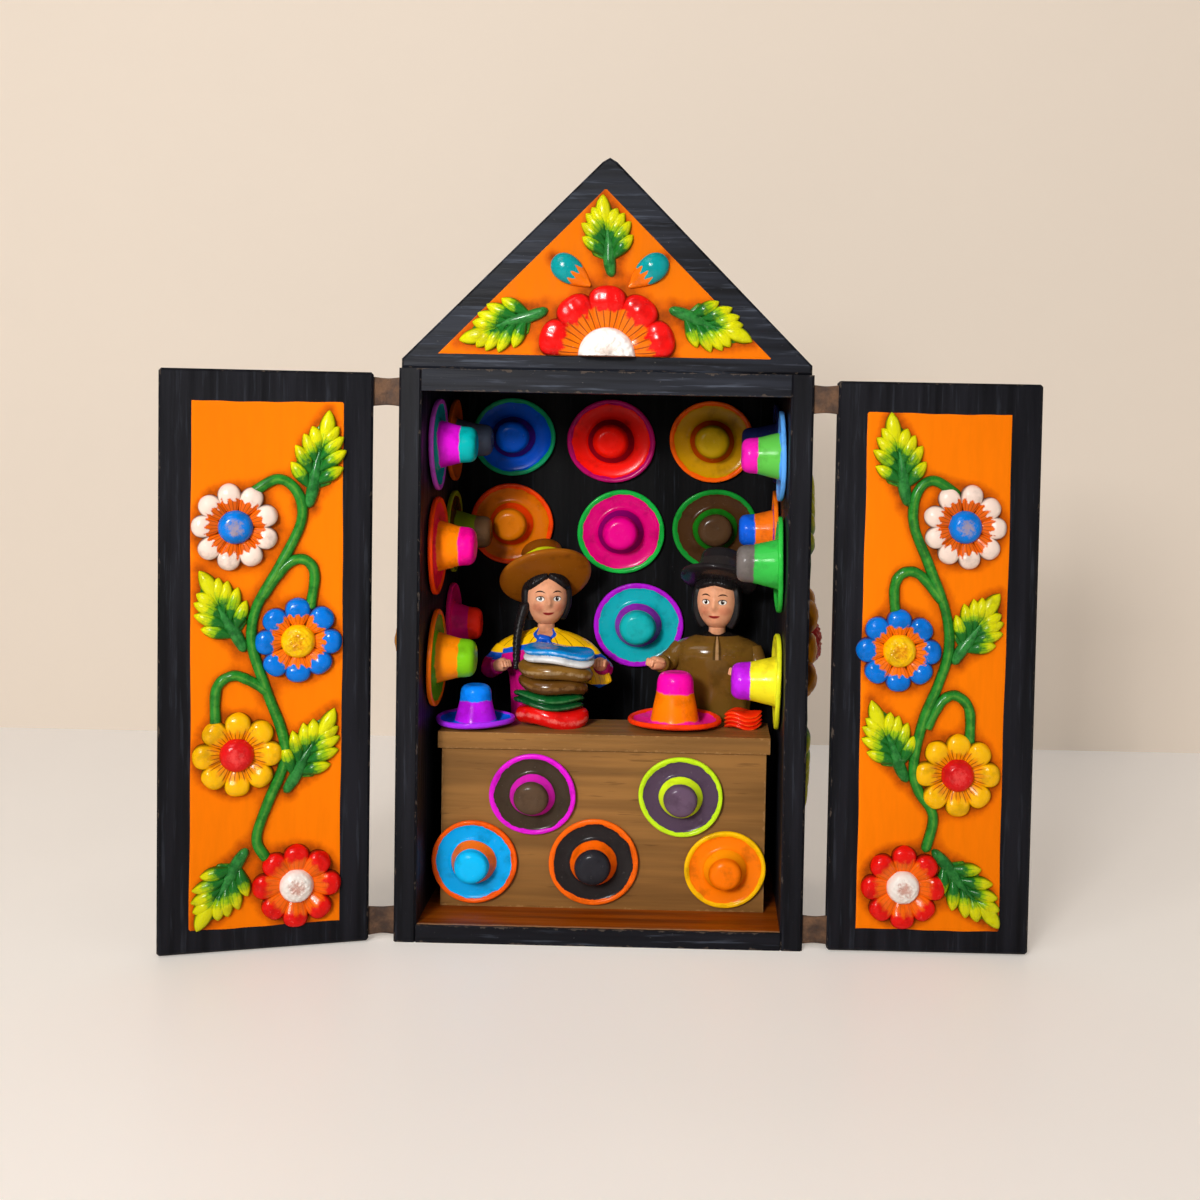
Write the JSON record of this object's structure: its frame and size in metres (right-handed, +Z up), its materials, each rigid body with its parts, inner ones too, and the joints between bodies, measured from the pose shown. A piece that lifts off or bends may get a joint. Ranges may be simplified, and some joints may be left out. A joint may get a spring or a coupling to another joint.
{
  "type": "retablo box",
  "caption": "Painted wooden retablo box with a triangular pediment, doors on leather strips, paste flowers and leaves in relief, and a hat stall with figures inside its niche.",
  "frame": {"origin": "centre of the base, on the surface that the box stands on", "axes": "+Z up, the niche opens towards -Y, +X to the right of a viewer before the niche"},
  "size_m": [0.2843, 0.0968, 0.2601],
  "materials": {
    "bare_wood": "bare",
    "black": "satin paint",
    "black_wood": "satin paint, worn",
    "blue": "satin paint",
    "brown": "satin paint",
    "counter_wood": "stained, satin",
    "leaf": "satin paint",
    "lime": "satin paint",
    "magenta": "satin paint",
    "nail": "dull",
    "ochre": "satin paint",
    "orange": "satin paint",
    "pink": "satin paint",
    "purple": "satin paint",
    "red": "satin paint",
    "skin": "satin paint",
    "sky": "satin paint",
    "strip": "worn",
    "teal": "satin paint",
    "vine": "satin paint",
    "violet": "satin paint",
    "white": "satin paint",
    "yellow": "satin paint"
  },
  "bodies": {
    "box": {"back_board": "black_wood", "back_hat_blue": "blue", "back_hat_brown": "brown", "back_hat_ochre": "ochre", "back_hat_orange": "orange", "back_hat_pink": "pink", "back_hat_red": "red", "back_hat_teal": "teal", "bottom_board": "black_wood", "case_nails": "nail", "counter_ends": "counter_wood", "counter_front": "counter_wood", "counter_hat_black": "black", "counter_hat_lime": "lime", "counter_hat_orange": "orange", "counter_hat_purple": "purple", "counter_hat_sky": "sky", "counter_top": "counter_wood", "felt_pile": "red", "left_side_board": "black_wood", "left_side_relief": "ochre", "left_wall_hats": "teal", "lying_hat_magenta": "magenta", "lying_hat_violet": "violet", "man_body": "brown", "man_hair": "black", "man_hands": "skin", "man_hat": "black", "man_head": "skin", "pediment_board": "black_wood", "pediment_buds": "teal", "pediment_dowels": "bare_wood", "pediment_flower": "red", "pediment_leaves": "leaf", "red_pile": "red", "right_side_board": "black_wood", "right_side_relief": "ochre", "right_wall_hats": "sky", "top_board": "black_wood", "woman_body": "yellow", "woman_hair": "black", "woman_hands": "skin", "woman_hat": "ochre", "woman_head": "skin"},
    "left_door": {"left_door_blue_flower": "blue", "left_door_board": "black_wood", "left_door_leaves": "leaf", "left_door_red_flower": "red", "left_door_strips": "strip", "left_door_vine": "vine", "left_door_white_flower": "white", "left_door_yellow_flower": "yellow"},
    "right_door": {"right_door_blue_flower": "blue", "right_door_board": "black_wood", "right_door_leaves": "leaf", "right_door_red_flower": "red", "right_door_strips": "strip", "right_door_vine": "vine", "right_door_white_flower": "white", "right_door_yellow_flower": "yellow"}
  },
  "joints": [
    {"name": "left_door", "type": "hinge", "parent": "box", "child": "left_door", "pos_m": [-0.072, -0.0392, 0], "axis": [0, 0, 1], "range_deg": [-35.5, 164.5], "deforming": ["left_door_strips"]},
    {"name": "right_door", "type": "hinge", "parent": "box", "child": "right_door", "pos_m": [0.072, -0.0392, 0], "axis": [0, 0, -1], "range_deg": [-20, 180], "deforming": ["right_door_strips"]}
  ]
}
